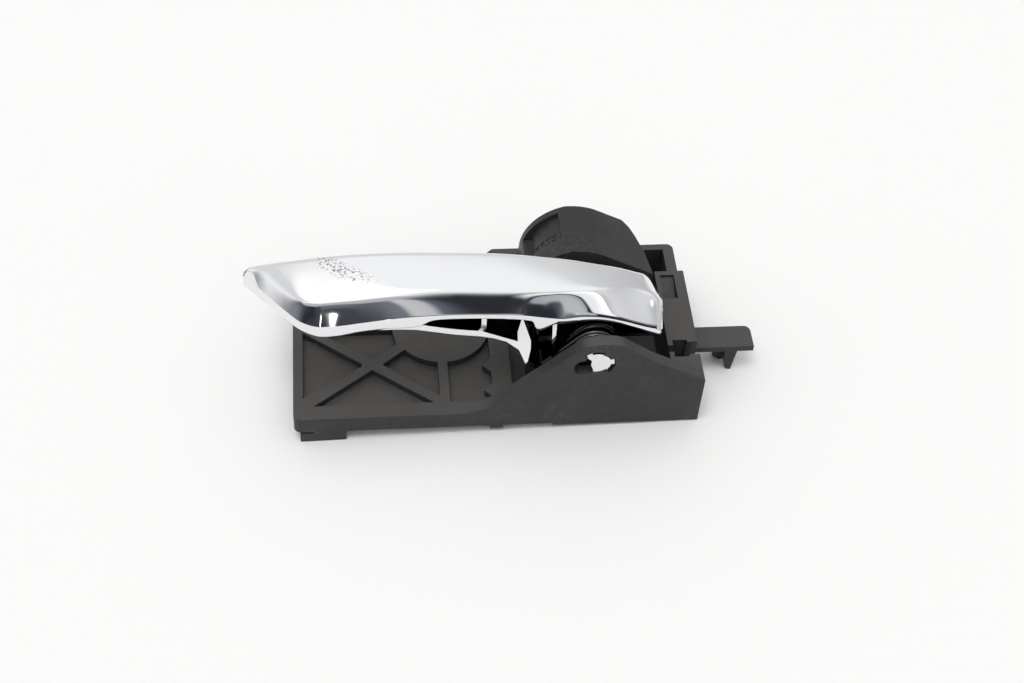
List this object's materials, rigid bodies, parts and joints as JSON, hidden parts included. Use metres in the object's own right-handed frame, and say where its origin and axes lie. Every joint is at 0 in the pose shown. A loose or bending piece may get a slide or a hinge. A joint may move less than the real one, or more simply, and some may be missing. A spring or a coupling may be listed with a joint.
{
  "type": "car interior door handle",
  "caption": "Interior door handle: moulded housing with crossed ribs, plated pull lever on a sprung pivot and a lock knob turning beside it.",
  "frame": {"origin": "centre of the screw hole on the housing's back plane, where the handle meets the door", "axes": "+X along the housing from the lever's tip towards the pivot and the end tab, +Y from the front wall back to the lock knob, +Z along the screw, out of the door towards the hand"},
  "size_m": [0.1463, 0.0553, 0.0525],
  "materials": {
    "housing_plastic": "black moulded plastic, satin with fine mould texture",
    "plating": "bright decorative plating with light rubbing marks",
    "knob_plastic": "black plastic, fine grain, slightly polished by fingers",
    "pin_steel": "turned steel, zinc plated",
    "sleeve_plastic": "natural slippery plastic",
    "spring_steel": "drawn spring steel, lightly greased",
    "stop_rubber": "soft black rubber"
  },
  "bodies": {
    "housing": {"housing": "housing_plastic", "pivot_pin": "pin_steel", "knob_washer": "pin_steel", "spacer_sleeve": "sleeve_plastic", "lever_spring": "spring_steel", "detent_leaf": "spring_steel", "lever_stop": "stop_rubber", "knob_stop": "stop_rubber"},
    "lever": {"lever": "plating"},
    "lock_knob": {"lock_knob": "knob_plastic"}
  },
  "joints": [
    {"name": "lever_pull", "type": "hinge", "parent": "housing", "child": "lever", "pos_m": [0.0411, 0, 0.0258], "axis": [0, 1, 0], "range_deg": [0, 38], "stiffness_Nm_per_rad": 0.4, "springref_deg": -28.65, "deforming": ["lever_spring"]},
    {"name": "lock_turn", "type": "hinge", "parent": "housing", "child": "lock_knob", "pos_m": [0.0411, 0, 0.0258], "axis": [0, -1, 0], "range_deg": [0, 26], "deforming": ["detent_leaf"]}
  ]
}
